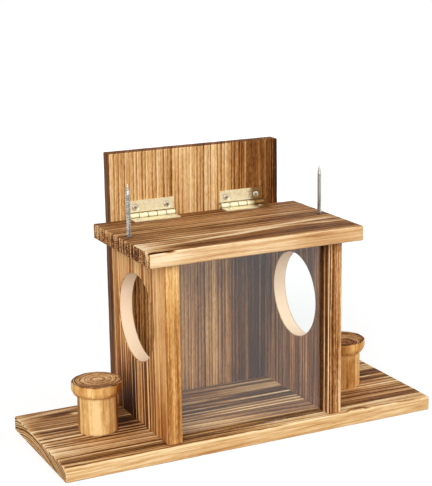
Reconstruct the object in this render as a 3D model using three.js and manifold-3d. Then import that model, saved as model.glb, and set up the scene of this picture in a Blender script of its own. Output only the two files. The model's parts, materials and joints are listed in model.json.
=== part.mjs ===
// Garden feeder box: a feed box of softwood boards on a long base board, with a clear
// front window, a round hole in each side wall, a hinged lid that carries two pointed
// upright screws, and a small round stool at each end of the base.
// Millimetres, +Z up. The origin is the middle of the base board's underside, and the
// window faces -Y.

import * as THREE from 'three';
import { mergeVertices } from 'three/addons/utils/BufferGeometryUtils.js';
import Module from 'manifold-3d';

const wasm = await Module();
wasm.setup();

// Clearances and workshop values
const SEAT_GAP = 0.3; // between a piece and whatever it rests on, enters or turns in
const OVERRUN = 4; // how far a cutter runs past the face that it opens
const EDGE_EASE = 1; // sanded arris of every board
const CORNER_RADIUS = 2; // sanded corner of every board's outline

// Boards, all sawn from the same stock
const BOARD = 15;
const BASE_LENGTH = 400;
const BASE_DEPTH = 150;
const BOX_WIDTH = 190;
const WALL_HEIGHT = 177;
const WALL_FRONT_INSET = 3; // the walls' fronts stand this far behind the base's front edge

// Round hole in each side wall
const HOLE_SIDE_MARGIN = 16; // wood left between the hole and the window or the back board
const HOLE_TOP_MARGIN = 25; // wood left above the hole

// Window sheet and the grooves that hold its edges
const WINDOW_THICKNESS = 3;
const WINDOW_INSET = 9.5; // behind the walls' fronts
const WINDOW_TOP_DROP = 1; // the sheet ends this far under the walls' tops
const WINDOW_EASE = 0.3;
const WINDOW_CORNER_RADIUS = 1;
const GROOVE_DEPTH = 4;

// Lid
const LID_SIDE_OVERHANG = 19;
const LID_FRONT_OVERHANG = 8;
const LID_REAR_GAP = 1; // between the lid and the back board
const BACK_RISE = 68; // the back board stands this far above the lid

// Butt hinges between the back board and the lid
const HINGE_LENGTH = 50;
const HINGE_SIDE_INSET = 19; // from the box's side to the hinge's outer end
const BARREL_RADIUS = 2.75;
const PIN_RADIUS = 1.3;
const PIN_HEAD_RADIUS = 2.1;
const PIN_HEAD_HEIGHT = 0.8;
const LEAF_THICKNESS = 1.2;
const LEAF_REACH = 15.5; // from the pin's axis to the leaf's free edge
const LEAF_CORNER_RADIUS = 1;
const LEAF_SCREW_EDGE = 7.2; // from the leaf's free edge to its screws
const LEAF_SCREW_END = 7.75; // from the leaf's ends to its screws

// Stools
const STOOL_GAP_SHARE = 37 / 110; // of the base that a seat leaves bare, the wall's side
const POST_RADIUS = 20;
const POST_HEIGHT = 38;
const POST_EASE = 1.2;
const SEAT_RADIUS = 25;
const SEAT_THICKNESS = 13;
const SEAT_UNDER_ROUND = 5;
const TENON_RADIUS = 9;
const TENON_HEIGHT = 7;

// Countersunk screws: the head's and the shank's radius, the length over all, the point's
// length, the height of the head's rim and how deep the head sits in its board
const HINGE_SCREW = { head: 3, shank: 1.5, length: 12, point: 3, rim: 0.3, sink: 0 };
const BOARD_SCREW = { head: 4, shank: 2, length: 35, point: 5, rim: 0.4, sink: 0.5 };
const STOOL_SCREW = { head: 4, shank: 2, length: 45, point: 5, rim: 0.4, sink: 0.5 };
const SPIKE_SCREW = { head: 5, shank: 2.5, length: 66, point: 10, rim: 0.5, sink: 0.5 };

// Places of the screws
const BACK_SCREW_LOW = 32; // above the walls' feet
const BACK_SCREW_HIGH = 12; // below the walls' tops
const BASE_SCREW_FRONT = 22; // behind the walls' fronts
const BASE_SCREW_REAR = 32; // in front of the walls' rear ends
const BACK_FOOT_SCREW_INSET = 55; // from the box's sides, up into the back board
const SPIKE_SCREW_INSET = 9.5; // from the lid's ends

// Counts
const CORNER_SEGMENTS = 2;
const EASE_SEGMENTS = 2;
const HOLE_SIDES = 64;
const SCREW_SIDES = 12;
const KNUCKLES = 5;
const BARREL_SEGMENTS = 10;
const PIN_SIDES = 16;
const POST_SIDES = 20;
const SEAT_SIDES = 40;
const PROFILE_SEGMENTS = 2;
const DOME_STEPS = 3;

// Places that the pieces share
const QUARTER = Math.PI / 2;
const baseTop = BOARD;
const wallFoot = baseTop + SEAT_GAP;
const wallTop = wallFoot + WALL_HEIGHT;
const lidUnderside = wallTop + SEAT_GAP;
const lidTop = lidUnderside + BOARD;
const backTop = lidTop + BACK_RISE;
const baseFront = -BASE_DEPTH / 2;
const baseRear = BASE_DEPTH / 2;
const wallFront = baseFront + WALL_FRONT_INSET;
const backFace = baseRear - BOARD;
const wallRear = backFace - SEAT_GAP;
const wallOuter = BOX_WIDTH / 2;
const wallInner = wallOuter - BOARD;
const wallMiddle = wallOuter - BOARD / 2;
const windowFront = wallFront + WINDOW_INSET;
const windowBack = windowFront + WINDOW_THICKNESS;
const lidFront = wallFront - LID_FRONT_OVERHANG;
const lidRear = backFace - LID_REAR_GAP;
const lidEnd = wallOuter + LID_SIDE_OVERHANG;
const axisY = backFace - SEAT_GAP - BARREL_RADIUS;
const axisZ = lidTop + SEAT_GAP + BARREL_RADIUS;
const hingeX = wallOuter - HINGE_SIDE_INSET - HINGE_LENGTH / 2;
const bareEnd = BASE_LENGTH / 2 - wallOuter - 2 * SEAT_RADIUS;
const stoolX = wallOuter + bareEnd * STOOL_GAP_SHARE + SEAT_RADIUS;
const SIDES = [['left', -1], ['right', 1]];

// Materials
const burnedWood = wood(0x9a6234);
const lidWood = wood(0x7d5636);
const paleWood = wood(0xd9a45c);
const acrylic = new THREE.MeshStandardMaterial({
  color: 0xf2f6f5, roughness: 0.08, metalness: 0, transparent: true, opacity: 0.3,
});
const brass = metal(0xd8c078, 0.3);
const zinc = metal(0xc9c7bf, 0.35);

function wood(color) {
  return new THREE.MeshStandardMaterial({ color, roughness: 0.75, metalness: 0, flatShading: true });
}

function metal(color, roughness) {
  return new THREE.MeshStandardMaterial({ color, roughness, metalness: 1, flatShading: true });
}

// A closed three.js geometry as a solid that can be joined and cut
function solidOf(geometry) {
  const bare = new THREE.BufferGeometry();
  bare.setAttribute('position', geometry.getAttribute('position'));
  bare.setIndex(geometry.getIndex());
  const merged = mergeVertices(bare);
  const corners = merged.getIndex().array;
  const kept = [];
  for (let i = 0; i < corners.length; i += 3) {
    const [a, b, c] = corners.subarray(i, i + 3);
    if (a !== b && b !== c && c !== a) kept.push(a, b, c);
  }
  const vertProperties = merged.getAttribute('position').array;
  const triVerts = Uint32Array.from(kept);
  return new wasm.Manifold(new wasm.Mesh({ numProp: 3, vertProperties, triVerts }));
}

// A named mesh whose own origin is at a given place, from a solid drawn where it belongs
function meshAt(name, solid, material, place) {
  const { vertProperties, triVerts } = solid.translate([-place.x, -place.y, -place.z]).getMesh();
  const geometry = new THREE.BufferGeometry();
  geometry.setAttribute('position', new THREE.BufferAttribute(vertProperties, 3));
  geometry.setIndex(new THREE.BufferAttribute(triVerts, 1));
  geometry.computeVertexNormals();
  const mesh = new THREE.Mesh(geometry, material);
  mesh.name = name;
  mesh.position.copy(place);
  return mesh;
}

// A rectangle with rounded corners, centred on the origin
function roundedRectangle(width, height, radius) {
  const x = width / 2 - radius;
  const y = height / 2 - radius;
  const outline = new THREE.Shape();
  outline.absarc(x, y, radius, 0, QUARTER);
  outline.absarc(-x, y, radius, QUARTER, 2 * QUARTER);
  outline.absarc(-x, -y, radius, 2 * QUARTER, 3 * QUARTER);
  outline.absarc(x, -y, radius, 3 * QUARTER, 4 * QUARTER);
  return outline;
}

// An outline given a thickness and eased edges, centred on the origin, lying in its own XY
function plate(outline, thickness, ease) {
  const geometry = new THREE.ExtrudeGeometry(outline, {
    depth: thickness - 2 * ease,
    curveSegments: CORNER_SEGMENTS,
    bevelEnabled: true,
    bevelThickness: ease,
    bevelSize: ease,
    bevelOffset: -ease,
    bevelSegments: EASE_SEGMENTS,
  });
  geometry.translate(0, 0, ease - thickness / 2);
  return geometry;
}

// Turns a plate so that it faces along X or Y: its outline then reads (Y, Z) or (X, Z)
function facing(geometry, axis) {
  const x = new THREE.Vector3(1, 0, 0);
  const y = new THREE.Vector3(0, 1, 0);
  const z = new THREE.Vector3(0, 0, 1);
  const turned = new THREE.Matrix4();
  if (axis === 'x') turned.makeBasis(y, z, x);
  if (axis === 'y') turned.makeBasis(x, z, y.negate());
  return geometry.applyMatrix4(turned);
}

// A box between two corners, for cutting
function block(low, high) {
  const geometry = new THREE.BoxGeometry(high[0] - low[0], high[1] - low[1], high[2] - low[2]);
  geometry.translate((low[0] + high[0]) / 2, (low[1] + high[1]) / 2, (low[2] + high[2]) / 2);
  return solidOf(geometry);
}

// A solid of revolution about Z or X, from [radius, distance along the axis] points,
// the lowest first
function turned(profile, sides, axis = 'z') {
  const points = profile.map(([radius, along]) => new THREE.Vector2(radius, along));
  const geometry = new THREE.LatheGeometry(points, sides);
  if (axis === 'z') geometry.rotateX(QUARTER);
  if (axis === 'x') geometry.rotateZ(-QUARTER);
  return solidOf(geometry);
}

// The profile of a countersunk screw, head up with its face at zero, grown by a clearance
function screwProfile(screw, clearance, above) {
  const cone = screw.head - screw.shank;
  return [
    [0, -screw.length - clearance],
    [screw.shank + clearance, screw.point - screw.length],
    [screw.shank + clearance, -screw.rim - cone],
    [screw.head + clearance, -screw.rim],
    [screw.head + clearance, above],
    [0, above],
  ];
}

// The hole that a screw sits in, open above the screw's head
function screwHole(screw) {
  return turned(screwProfile(screw, SEAT_GAP, OVERRUN), SCREW_SIDES);
}

// A screw mesh, head outwards along a given direction, its face sunk below a given point
function screwMesh(name, screw, point, outwards) {
  const solid = turned(screwProfile(screw, 0, 0), SCREW_SIDES);
  const mesh = meshAt(name, solid, zinc, new THREE.Vector3());
  mesh.position.copy(point).addScaledVector(outwards, -screw.sink);
  mesh.quaternion.setFromUnitVectors(new THREE.Vector3(0, 0, 1), outwards);
  mesh.userData.screw = screw;
  return mesh;
}

// A board less the holes of the screws that go through or into it
function bored(solid, screws) {
  let result = solid;
  for (const mesh of screws) {
    mesh.updateWorldMatrix(true, false);
    result = result.subtract(screwHole(mesh.userData.screw).transform(mesh.matrixWorld.elements));
  }
  return result;
}

// Screws

function backScrews() {
  const outwards = new THREE.Vector3(0, 1, 0);
  const heights = [['low', wallFoot + BACK_SCREW_LOW], ['high', wallTop - BACK_SCREW_HIGH]];
  return SIDES.flatMap(([side, sign]) => heights.map(([level, z]) => {
    const point = new THREE.Vector3(sign * wallMiddle, baseRear, z);
    return screwMesh(`back_screw_${side}_${level}`, BOARD_SCREW, point, outwards);
  }));
}

function wallFootScrews() {
  const outwards = new THREE.Vector3(0, 0, -1);
  const depths = [['front', wallFront + BASE_SCREW_FRONT], ['rear', wallRear - BASE_SCREW_REAR]];
  return SIDES.flatMap(([side, sign]) => depths.map(([end, y]) => {
    const point = new THREE.Vector3(sign * wallMiddle, y, 0);
    return screwMesh(`wall_foot_screw_${side}_${end}`, BOARD_SCREW, point, outwards);
  }));
}

function backFootScrews() {
  const outwards = new THREE.Vector3(0, 0, -1);
  return SIDES.map(([side, sign]) => {
    const x = sign * (wallOuter - BACK_FOOT_SCREW_INSET);
    const point = new THREE.Vector3(x, backFace + BOARD / 2, 0);
    return screwMesh(`back_foot_screw_${side}`, BOARD_SCREW, point, outwards);
  });
}

function stoolScrews() {
  const outwards = new THREE.Vector3(0, 0, -1);
  return SIDES.map(([side, sign]) => {
    const point = new THREE.Vector3(sign * stoolX, 0, 0);
    return screwMesh(`stool_screw_${side}`, STOOL_SCREW, point, outwards);
  });
}

// Long pointed screws that stand up through the lid's overhangs and hold food upright
function spikeScrews() {
  const outwards = new THREE.Vector3(0, 0, -1);
  return SIDES.map(([side, sign]) => {
    const x = sign * (lidEnd - SPIKE_SCREW_INSET);
    const point = new THREE.Vector3(x, (lidFront + lidRear) / 2, lidUnderside);
    return screwMesh(`spike_screw_${side}`, SPIKE_SCREW, point, outwards);
  });
}

// Boards and window

function baseBoard(screws) {
  const outline = roundedRectangle(BASE_LENGTH, BASE_DEPTH, CORNER_RADIUS);
  const place = new THREE.Vector3(0, 0, baseTop / 2);
  const solid = solidOf(plate(outline, BOARD, EDGE_EASE)).translate(place.toArray());
  return meshAt('base_board', bored(solid, screws), burnedWood, place);
}

// The cutter for a round hole through a board that faces along X, with both rims eased
function roundHole(radius) {
  const face = BOARD / 2;
  const bulge = EDGE_EASE * (1 - Math.SQRT1_2);
  const upper = [
    [radius, face - EDGE_EASE],
    [radius + bulge, face - bulge],
    [radius + EDGE_EASE, face],
    [radius + EDGE_EASE, face + OVERRUN],
    [0, face + OVERRUN],
  ];
  return turned([...mirrored(upper), ...upper], HOLE_SIDES, 'x');
}

// The other end of a profile that is alike at both ends
function mirrored(profile) {
  return profile.map(([radius, along]) => [radius, -along]).reverse();
}

// A side wall with its round hole, and on the inner face the groove for the window
function sideWall(side, sign, screws) {
  const place = new THREE.Vector3(
    sign * wallMiddle, (wallFront + wallRear) / 2, (wallFoot + wallTop) / 2);
  const radius = (backFace - windowBack) / 2 - HOLE_SIDE_MARGIN;
  const holeY = (windowBack + backFace) / 2 - place.y;
  const holeZ = wallTop - HOLE_TOP_MARGIN - radius - place.z;
  const outline = roundedRectangle(wallRear - wallFront, WALL_HEIGHT, CORNER_RADIUS);
  const hole = roundHole(radius).translate([0, holeY, holeZ]);
  const panel = solidOf(facing(plate(outline, BOARD, EDGE_EASE), 'x')).subtract(hole);
  const groove = block(
    [-wallInner - GROOVE_DEPTH - SEAT_GAP, windowFront - SEAT_GAP, wallFoot - OVERRUN],
    [wallInner + GROOVE_DEPTH + SEAT_GAP, windowBack + SEAT_GAP, wallTop + OVERRUN]);
  const solid = panel.translate(place.toArray()).subtract(groove);
  return meshAt(`${side}_wall`, bored(solid, screws), burnedWood, place);
}

function backBoard(screws) {
  const height = backTop - wallFoot;
  const outline = roundedRectangle(BOX_WIDTH, height, CORNER_RADIUS);
  const place = new THREE.Vector3(0, backFace + BOARD / 2, wallFoot + height / 2);
  const solid = solidOf(facing(plate(outline, BOARD, EDGE_EASE), 'y')).translate(place.toArray());
  return meshAt('back_board', bored(solid, screws), burnedWood, place);
}

// The clear sheet, which slides down the walls' grooves and stands on the base
function frontWindow() {
  const width = 2 * (wallInner + GROOVE_DEPTH);
  const height = WALL_HEIGHT - WINDOW_TOP_DROP;
  const outline = roundedRectangle(width, height, WINDOW_CORNER_RADIUS);
  const place = new THREE.Vector3(0, windowFront + WINDOW_THICKNESS / 2, wallFoot + height / 2);
  const geometry = facing(plate(outline, WINDOW_THICKNESS, WINDOW_EASE), 'y');
  const solid = solidOf(geometry).translate(place.toArray());
  return meshAt('front_window', solid, acrylic, place);
}

function lidBoard(screws) {
  const outline = roundedRectangle(2 * lidEnd, lidRear - lidFront, CORNER_RADIUS);
  const place = new THREE.Vector3(0, (lidFront + lidRear) / 2, lidUnderside + BOARD / 2);
  const solid = solidOf(plate(outline, BOARD, EDGE_EASE)).translate(place.toArray());
  return meshAt('lid', bored(solid, screws), lidWood, place);
}

// Hinges, drawn about the pin's axis, which runs along X through the origin. A leaf
// reaches towards -Y with its back at -BARREL_RADIUS, as the lid's leaf lies.

// A leaf's flat part, up to the notches that clear the other leaf's knuckles
function leafPlate() {
  const near = BARREL_RADIUS + SEAT_GAP;
  const half = HINGE_LENGTH / 2;
  const corner = LEAF_CORNER_RADIUS;
  const outline = new THREE.Shape();
  outline.moveTo(half, -near);
  outline.lineTo(-half, -near);
  outline.absarc(corner - half, corner - LEAF_REACH, corner, 2 * QUARTER, 3 * QUARTER);
  outline.absarc(half - corner, corner - LEAF_REACH, corner, 3 * QUARTER, 4 * QUARTER);
  const geometry = new THREE.ExtrudeGeometry(outline, {
    depth: LEAF_THICKNESS, curveSegments: CORNER_SEGMENTS, bevelEnabled: false,
  });
  geometry.translate(0, 0, -BARREL_RADIUS);
  return solidOf(geometry);
}

// One knuckle: the leaf's metal, rolled up from its flat part round the pin's bore
function knuckle(index) {
  const pitch = HINGE_LENGTH / KNUCKLES;
  const flat = BARREL_RADIUS - LEAF_THICKNESS;
  const meeting = Math.asin(flat / BARREL_RADIUS);
  const root = BARREL_RADIUS + SEAT_GAP + LEAF_THICKNESS;
  const outline = new THREE.Shape();
  outline.moveTo(-root, -BARREL_RADIUS);
  outline.absarc(0, 0, BARREL_RADIUS, -QUARTER, 2 * QUARTER + meeting);
  outline.lineTo(-root, -flat);
  const bore = new THREE.Path();
  bore.absarc(0, 0, PIN_RADIUS + SEAT_GAP, 0, 4 * QUARTER, true);
  outline.holes.push(bore);
  const geometry = new THREE.ExtrudeGeometry(outline, {
    depth: pitch - SEAT_GAP, curveSegments: BARREL_SEGMENTS, bevelEnabled: false,
  });
  facing(geometry, 'x');
  geometry.translate(index * pitch - (HINGE_LENGTH - SEAT_GAP) / 2, 0, 0);
  return solidOf(geometry);
}

// A leaf with its screws. The two leaves of a hinge take turns along the barrel.
function leafGroup(name, firstKnuckle) {
  const group = new THREE.Group();
  const outwards = new THREE.Vector3(0, 0, 1);
  const screwX = HINGE_LENGTH / 2 - LEAF_SCREW_END;
  for (const [end, sign] of SIDES) {
    const point = new THREE.Vector3(
      sign * screwX, LEAF_SCREW_EDGE - LEAF_REACH, LEAF_THICKNESS - BARREL_RADIUS);
    group.add(screwMesh(`${name}_screw_${end}`, HINGE_SCREW, point, outwards));
  }
  let solid = leafPlate();
  for (let index = firstKnuckle; index < KNUCKLES; index += 2) {
    solid = solid.add(knuckle(index));
  }
  group.add(meshAt(name, bored(solid, [...group.children]), brass, new THREE.Vector3()));
  return group;
}

// A pin with a domed head riveted up at each end
function hingePin(name) {
  const half = HINGE_LENGTH / 2;
  const seat = half + SEAT_GAP / 2;
  const dome = [];
  for (let step = 0; step <= DOME_STEPS; step += 1) {
    const angle = step * QUARTER / DOME_STEPS;
    dome.push([PIN_HEAD_RADIUS * Math.cos(angle), seat + PIN_HEAD_HEIGHT * Math.sin(angle)]);
  }
  const upper = [[PIN_RADIUS, seat], ...dome];
  const solid = turned([...mirrored(upper), ...upper], PIN_SIDES, 'x');
  return meshAt(name, solid, brass, new THREE.Vector3());
}

// A whole hinge at its place: one leaf on the lid, the other turned up on the back board
function hinge(side, sign) {
  const group = new THREE.Group();
  group.position.set(sign * hingeX, axisY, axisZ);
  const lidLeaf = leafGroup(`${side}_hinge_lid_leaf`, 1);
  const backLeaf = leafGroup(`${side}_hinge_back_leaf`, 0);
  backLeaf.quaternion.setFromAxisAngle(new THREE.Vector3(0, -1, 1).normalize(), 2 * QUARTER);
  group.add(lidLeaf, backLeaf, hingePin(`${side}_hinge_pin`));
  return { group, lidScrews: screwsIn(lidLeaf), backScrews: screwsIn(backLeaf) };
}

function screwsIn(group) {
  return group.children.filter((mesh) => mesh.userData.screw);
}

// Stools

// A post whittled to flats, with a tenon on top for the seat
function stoolPost(side, place, screws) {
  const profile = [
    [0, 0],
    [POST_RADIUS - POST_EASE, 0],
    [POST_RADIUS, POST_EASE],
    [POST_RADIUS, POST_HEIGHT],
    [TENON_RADIUS, POST_HEIGHT],
    [TENON_RADIUS, POST_HEIGHT + TENON_HEIGHT],
    [0, POST_HEIGHT + TENON_HEIGHT],
  ];
  const solid = turned(profile, POST_SIDES).translate(place.toArray());
  return meshAt(`${side}_stool_post`, bored(solid, screws), paleWood, place);
}

// A round seat with its lower edge rounded in towards the post, and a socket underneath
function stoolSeat(side, place) {
  const outline = new THREE.Path();
  const flatRadius = SEAT_RADIUS - SEAT_UNDER_ROUND;
  outline.moveTo(0, 0);
  outline.lineTo(flatRadius, 0);
  outline.absarc(flatRadius, SEAT_UNDER_ROUND, SEAT_UNDER_ROUND, -QUARTER, 0);
  outline.absarc(SEAT_RADIUS - EDGE_EASE, SEAT_THICKNESS - EDGE_EASE, EDGE_EASE, 0, QUARTER);
  outline.lineTo(0, SEAT_THICKNESS);
  const profile = outline.getPoints(PROFILE_SEGMENTS).map((point) => point.toArray());
  const socket = turned([
    [0, -OVERRUN],
    [TENON_RADIUS + SEAT_GAP, -OVERRUN],
    [TENON_RADIUS + SEAT_GAP, TENON_HEIGHT],
    [0, TENON_HEIGHT],
  ], SEAT_SIDES);
  const solid = turned(profile, SEAT_SIDES).subtract(socket).translate(place.toArray());
  return meshAt(`${side}_stool_seat`, solid, lidWood, place);
}

// The whole feeder
function feeder() {
  const group = new THREE.Group();
  const backFixings = backScrews();
  const wallFixings = wallFootScrews();
  const backFootFixings = backFootScrews();
  const stoolFixings = stoolScrews();
  const spikes = spikeScrews();
  const hinges = SIDES.map(([side, sign]) => hinge(side, sign));
  group.add(...hinges.map((one) => one.group));
  group.add(...backFixings, ...wallFixings, ...backFootFixings, ...stoolFixings, ...spikes);
  group.add(baseBoard([...wallFixings, ...backFootFixings, ...stoolFixings]));
  group.add(backBoard([
    ...backFixings, ...backFootFixings, ...hinges.flatMap((one) => one.backScrews)]));
  group.add(lidBoard([...spikes, ...hinges.flatMap((one) => one.lidScrews)]));
  group.add(frontWindow());
  for (const [side, sign] of SIDES) {
    const foot = new THREE.Vector3(sign * stoolX, 0, wallFoot);
    const seatPlace = foot.clone().setZ(foot.z + POST_HEIGHT + SEAT_GAP);
    group.add(sideWall(side, sign, [...backFixings, ...wallFixings]));
    group.add(stoolPost(side, foot, stoolFixings));
    group.add(stoolSeat(side, seatPlace));
  }
  return group;
}

export default feeder();
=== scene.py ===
"""Looks of the garden feeder box: flame-burned boards, hinges, screws, stools and window.

Meshes are drawn in millimetres in the CAD model's own frame (+X right, -Y front, +Z up)
and turned into metres when they become objects.
"""

from itertools import product
import json
import math

import bpy
from mathutils import Matrix, Vector, noise

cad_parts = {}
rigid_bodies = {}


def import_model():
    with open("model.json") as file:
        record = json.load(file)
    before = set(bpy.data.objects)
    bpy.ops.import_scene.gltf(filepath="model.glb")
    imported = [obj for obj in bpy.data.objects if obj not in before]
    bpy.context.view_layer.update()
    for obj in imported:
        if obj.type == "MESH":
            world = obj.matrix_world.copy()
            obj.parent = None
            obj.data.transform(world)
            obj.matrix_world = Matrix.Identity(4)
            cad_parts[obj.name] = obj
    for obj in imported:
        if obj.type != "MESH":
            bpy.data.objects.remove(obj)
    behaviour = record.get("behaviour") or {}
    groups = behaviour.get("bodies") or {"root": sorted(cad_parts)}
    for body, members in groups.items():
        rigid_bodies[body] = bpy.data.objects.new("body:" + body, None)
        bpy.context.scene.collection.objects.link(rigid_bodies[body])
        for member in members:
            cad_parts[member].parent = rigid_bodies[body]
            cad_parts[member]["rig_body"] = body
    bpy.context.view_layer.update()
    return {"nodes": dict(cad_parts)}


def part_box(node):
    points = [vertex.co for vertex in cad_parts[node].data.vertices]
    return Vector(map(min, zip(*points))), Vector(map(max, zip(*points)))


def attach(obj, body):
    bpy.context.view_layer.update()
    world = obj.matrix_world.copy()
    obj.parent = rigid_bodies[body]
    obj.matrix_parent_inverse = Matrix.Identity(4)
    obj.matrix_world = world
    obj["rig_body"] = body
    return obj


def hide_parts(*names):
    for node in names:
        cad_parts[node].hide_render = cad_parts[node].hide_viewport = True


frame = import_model()

MM = 0.001
TURN = 2 * math.pi
X, Y, Z = Vector((1, 0, 0)), Vector((0, 1, 0)), Vector((0, 0, 1))

# Camera of the photograph's view, in degrees and millimetres
CAMERA_PLACE = (-571.013, -1156.922, 501.594)
CAMERA_YAW, CAMERA_PITCH, CAMERA_ROLL = -25.973, -13.712, 0.796
CAMERA_LENS = 99.04  # on a 36 mm sensor along the picture's long side

# Sizes shared with the CAD model, in millimetres
ARRIS = 1.2
HOLE_RADIUS, HOLE_Y, HOLE_Z = 43.75, 0.25, 123.55
RIM_EASE = 1.1
GROOVE_Y, GROOVE_DEPTH = (-62.9, -59.1), 4.3
SCREWS = {
    "hinge": dict(head=3.0, shank=1.5, length=12, point=3, rim=0.3),
    "board": dict(head=4.0, shank=2.0, length=35, point=5, rim=0.4),
    "stool": dict(head=4.0, shank=2.0, length=45, point=5, rim=0.4),
    "spike": dict(head=5.0, shank=2.5, length=66, point=10, rim=0.5),
}
SINK = 0.5  # how deep a board screw's head sits
LEAF_LENGTH, LEAF_REACH, LEAF_THICK, LEAF_CORNER = 50, 15.5, 1.2, 1.0
LEAF_SCREW_EDGE, LEAF_SCREW_END = 7.2, 7.75
BARREL, PIN, HINGE_GAP, KNUCKLES = 2.75, 1.3, 0.3, 5
KNUCKLE_PITCH = LEAF_LENGTH / KNUCKLES
RIVET, RIVET_HEIGHT = 2.1, 0.8
POST_RADIUS, SEAT_RADIUS = 20, 25
# The feed box, whose inward faces get painted shade
FEED_BOX = (Vector((-82, -59, 3)), Vector((82, 62, 205)))  # round the faces that look into it
FEED_BOX_BLEND = (1.0, 1.0, 12.0)  # over how many millimetres its tone fades out


def box_of(node):
    """A CAD node's lowest and highest corner, in millimetres."""
    return [Vector(corner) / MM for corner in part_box(node)]


def middle_of(node):
    low, high = box_of(node)
    return (low + high) / 2


# Colours

def srgb(red, green, blue):
    """A colour written as on a screen, 0 to 255, as the shader's linear colour."""
    def linear(value):
        share = value / 255
        return share / 12.92 if share <= 0.04045 else ((share + 0.055) / 1.055) ** 2.4
    return (linear(red), linear(green), linear(blue), 1.0)


WOOD_TONES = (  # from fresh sawn wood to char
    (0.00, srgb(255, 225, 175)),
    (0.16, srgb(236, 194, 137)),
    (0.36, srgb(208, 156, 98)),
    (0.56, srgb(168, 115, 64)),
    (0.75, srgb(127, 77, 32)),
    (0.90, srgb(94, 53, 20)),
    (1.00, srgb(58, 32, 14)),
)


# Node trees

class Nodes:
    """Short calls for the nodes of a material or a world. An input is a number, a colour or
    an output."""

    def __init__(self, name, kind=bpy.data.materials):
        self.owner = kind.new(name)
        self.owner.use_nodes = True
        self.tree = self.owner.node_tree

    def join(self, value, socket):
        if isinstance(value, bpy.types.NodeSocket):
            self.tree.links.new(value, socket)
        elif value is not None:
            socket.default_value = value

    def put(self, kind, inputs, **settings):
        node = self.tree.nodes.new("ShaderNode" + kind)
        for key, value in settings.items():
            setattr(node, key, value)
        for key, value in inputs.items():
            self.join(value, node.inputs[key])
        return node

    def math(self, operation, a, b=None, c=None):
        return self.put("Math", {0: a, 1: b, 2: c}, operation=operation).outputs[0]

    def vector(self, operation, a, b=None, scale=None):
        inputs = {0: a, 1: b} if scale is None else {0: a, 3: scale}
        node = self.put("VectorMath", inputs, operation=operation)
        single = operation in ("DOT_PRODUCT", "LENGTH")
        return node.outputs["Value" if single else "Vector"]

    def point(self, x, y, z):
        return self.put("CombineXYZ", {0: x, 1: y, 2: z}).outputs[0]

    def parts(self, vector):
        return self.put("SeparateXYZ", {0: vector}).outputs

    def place(self):
        """The shaded point's place in the CAD model's frame, in millimetres."""
        return self.vector("SCALE", self.put("TexCoord", {}).outputs["Object"], scale=1 / MM)

    def smooth(self, value, low, high, start=0.0, end=1.0):
        inputs = {0: value, 1: low, 2: high, 3: start, 4: end}
        return self.put("MapRange", inputs, interpolation_type="SMOOTHSTEP").outputs[0]

    def noise(self, vector, detail=2.0, roughness=0.5):
        inputs = {"Vector": vector, "Scale": 1.0, "Detail": detail, "Roughness": roughness}
        return self.put("TexNoise", inputs).outputs[0]

    def chance(self, value, kind="TexWhiteNoise", **inputs):
        return self.put(kind, {"W": value, **inputs}, noise_dimensions="1D").outputs[0]

    def ramp(self, value, stops):
        node = self.put("ValToRGB", {0: value})
        ramp = node.color_ramp
        while len(ramp.elements) < len(stops):
            ramp.elements.new(0.5)
        for element, (place, colour) in zip(ramp.elements, stops):
            element.position = place
            element.color = colour
        return node.outputs[0]

    def blend(self, share, first, second, **settings):
        """A mix of two colours."""
        inputs = {0: share, 6: first, 7: second}
        return self.put("Mix", inputs, data_type="RGBA", **settings).outputs[2]

    def total(self, *terms):
        """The sum of (value, weight, middle) terms: weight times value's distance from middle."""
        result = 0.0
        for value, weight, middle in terms:
            part = self.math("MULTIPLY_ADD", value, weight, -weight * middle)
            result = part if result == 0.0 else self.math("ADD", result, part)
        return result

    def backdrop_ray(self):
        """1 for rays that show the backdrop, straight, mirrored or through the window."""
        path = self.put("LightPath", {}).outputs
        indirect = self.math("MAXIMUM", path["Is Glossy Ray"], path["Is Transmission Ray"])
        return self.math("MAXIMUM", path["Is Camera Ray"], indirect)

    def set(self, **values):
        """Sets or links inputs of the surface shader."""
        for key, value in values.items():
            self.join(value, self.tree.nodes["Principled BSDF"].inputs[key.replace("_", " ")])

    def bump(self, height, strength):
        """Bumps the surface by a height in millimetres."""
        inputs = {"Height": height, "Distance": MM, "Strength": strength}
        self.set(Normal=self.put("Bump", inputs).outputs[0])


# Wood

SEED_STEPS = (7.3, 3.1, 5.7)  # how far a seed of 1 moves a noise on each axis
GRAIN_NOISES = {  # seed, sizes in millimetres across and along the grain, detail, roughness
    "drift": (0, 34, 150),
    "fibre": (2, 0.5, 14, 3.0, 0.6),
    "fleck": (3, 0.9, 6.0),
    "streak": (4, 4.5, 110, 3.0, 0.6),
    "cloud": (5, 26, 70, 3.0, 0.55),
    "rub": (6, 5, 12),
    "tick": (8, 1.2, 5.0, 1.0),
}
RIPPLE_SEED, STRIAE_SEED = 1, 7
RIPPLED_BANDS = 1.2  # how many millimetres the ripple moves a band
RING_CHANGES, RING_UNEVENNESS = 0.45, 1.3  # how often the rings' width changes, and how much
LINE_FULL, LINE_END = 0.92, 0.95  # shares of a ring's width, as is the next
GLINT_END = 0.28
LINE_SPREAD = 0.25  # how much sooner the line of a ring may start
# The arrises are paler by wear and by a painted highlight along them
WEAR_AND_HIGHLIGHT_WIDTH, WEAR_AND_HIGHLIGHT_FULL, WEAR_AND_HIGHLIGHT_RUB = 2.5, 1.0, 2.2  # from the arris, in millimetres
FLECK_FROM, FLECK_FULL = 0.60, 0.74
QUIETEST = 0.15  # the least that a calm place leaves of the lines
CHAR_AND_SHADING_TONE = 0.55
FAR_BLEND = 50  # how far on either side of the middle the far bands take over


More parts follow.
